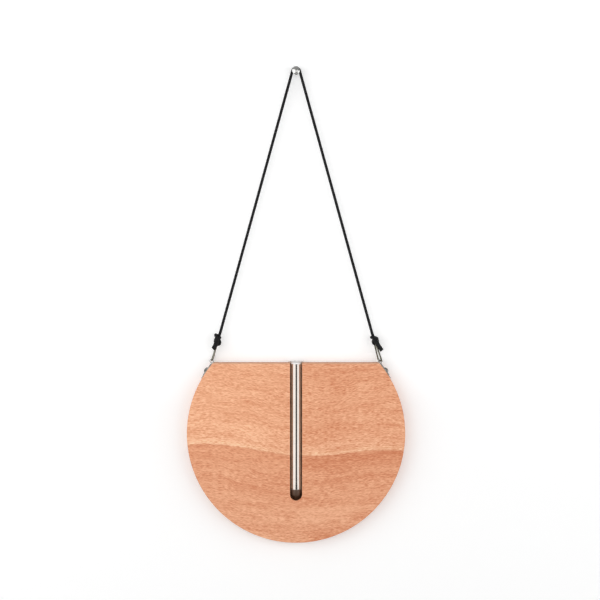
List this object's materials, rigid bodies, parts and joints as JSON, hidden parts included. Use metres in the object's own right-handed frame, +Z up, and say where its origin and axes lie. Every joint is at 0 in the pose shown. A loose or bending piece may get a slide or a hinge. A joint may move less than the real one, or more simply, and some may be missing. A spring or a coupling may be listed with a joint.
{
  "type": "hanging wall vase",
  "caption": "Wooden disc with a flat top and a front groove holding a lift-out steel flower tube, hung by a knotted cord and ring hangers from a domed wall pin.",
  "frame": {"origin": "on the wall pin's axis, at the plane of the wall, where the pin's base meets it", "axes": "+Z up, +Y into the wall, so the front faces -Y, and +X to the viewer's right"},
  "size_m": [0.26, 0.0507, 0.5687],
  "materials": {
    "wood": "satin oiled, horizontal grain",
    "polished_steel": "mirror polished",
    "black_cord": "waxed braid",
    "plated_wire": "zinc plated",
    "plated_strip": "zinc plated",
    "screw_steel": "zinc plated",
    "pin_steel": "polished"
  },
  "bodies": {
    "wall_pin": {"wall_pin": "pin_steel"},
    "vase": {"wood_panel": "wood", "left_hanger_strap": "plated_strip", "right_hanger_strap": "plated_strip", "left_strap_screw": "screw_steel", "right_strap_screw": "screw_steel", "hanging_cord": "black_cord"},
    "flower_tube": {"flower_tube": "polished_steel"},
    "left_ring": {"left_hanger_ring": "plated_wire", "left_cord_knot": "black_cord"},
    "right_ring": {"right_hanger_ring": "plated_wire", "right_cord_knot": "black_cord"}
  },
  "joints": [
    {"name": "hang_swing", "type": "hinge", "parent": "wall_pin", "child": "vase", "pos_m": [0, 0, 0], "axis": [0, 1, 0], "range_deg": [-30, 30]},
    {"name": "tube_lift", "type": "slide", "parent": "vase", "child": "flower_tube", "axis": [0, 0, 1], "range_m": [0, 0.165]},
    {"name": "left_ring_swing", "type": "hinge", "parent": "vase", "child": "left_ring", "pos_m": [-0.10055, -0.009, -0.3466], "axis": [0, -1, 0], "range_deg": [-30, 30], "stiffness_Nm_per_rad": 0.08},
    {"name": "right_ring_swing", "type": "hinge", "parent": "vase", "child": "right_ring", "pos_m": [0.10075, -0.009, -0.34726], "axis": [0.199, -0.9781, 0.0602], "range_deg": [-30, 30], "stiffness_Nm_per_rad": 0.08}
  ]
}
